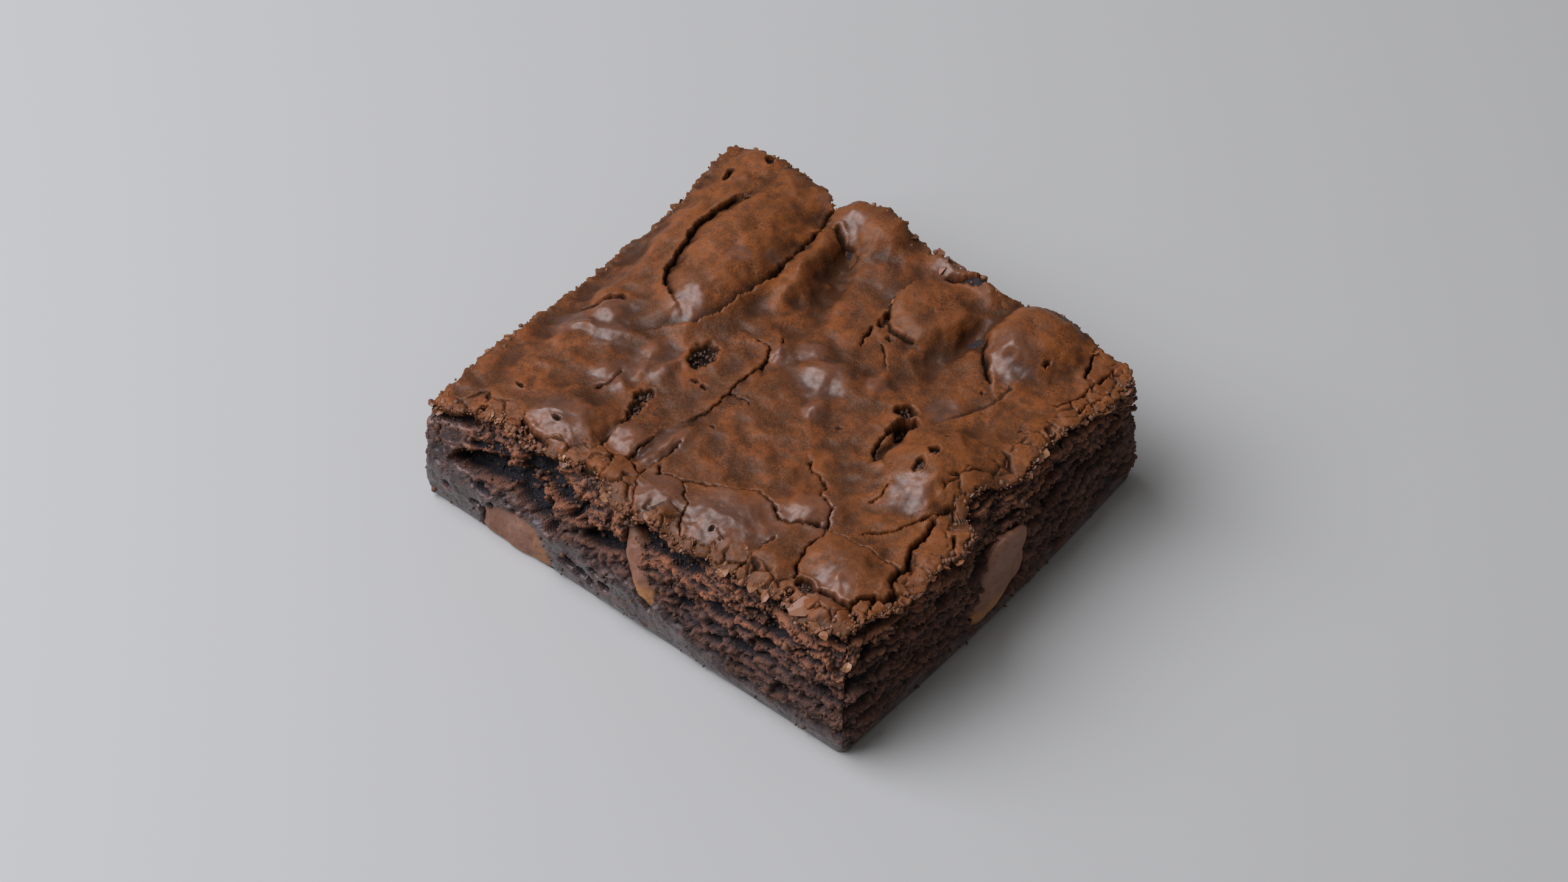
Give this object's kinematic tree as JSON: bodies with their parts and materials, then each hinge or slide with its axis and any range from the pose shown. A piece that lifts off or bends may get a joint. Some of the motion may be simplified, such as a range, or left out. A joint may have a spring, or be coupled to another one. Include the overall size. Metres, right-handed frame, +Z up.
{
  "type": "chocolate brownie",
  "caption": "Square of chocolate brownie with a thin crackled crust, a dense dark crumb and lumps of milk chocolate sliced through at its cut sides.",
  "frame": {"origin": "middle of the flat base, on the surface the brownie rests on", "axes": "+X along the longer side, from the low corner's side to the side with the oval lump of chocolate; -Y is the other cut side that shows; +Z up through the crust"},
  "size_m": [0.0735, 0.0638, 0.0215],
  "materials": {
    "crumb": "matt, moist, open baked cocoa crumb",
    "crust": "thin, dry, crackled satin sugar crust",
    "milk_chocolate": "smooth satin chocolate, smeared by the knife"
  },
  "bodies": {
    "root": {"brownie": "crumb", "chocolate_chunk_left": "milk_chocolate", "chocolate_chunk_middle": "milk_chocolate", "chocolate_chunk_right": "milk_chocolate"}
  },
  "joints": []
}
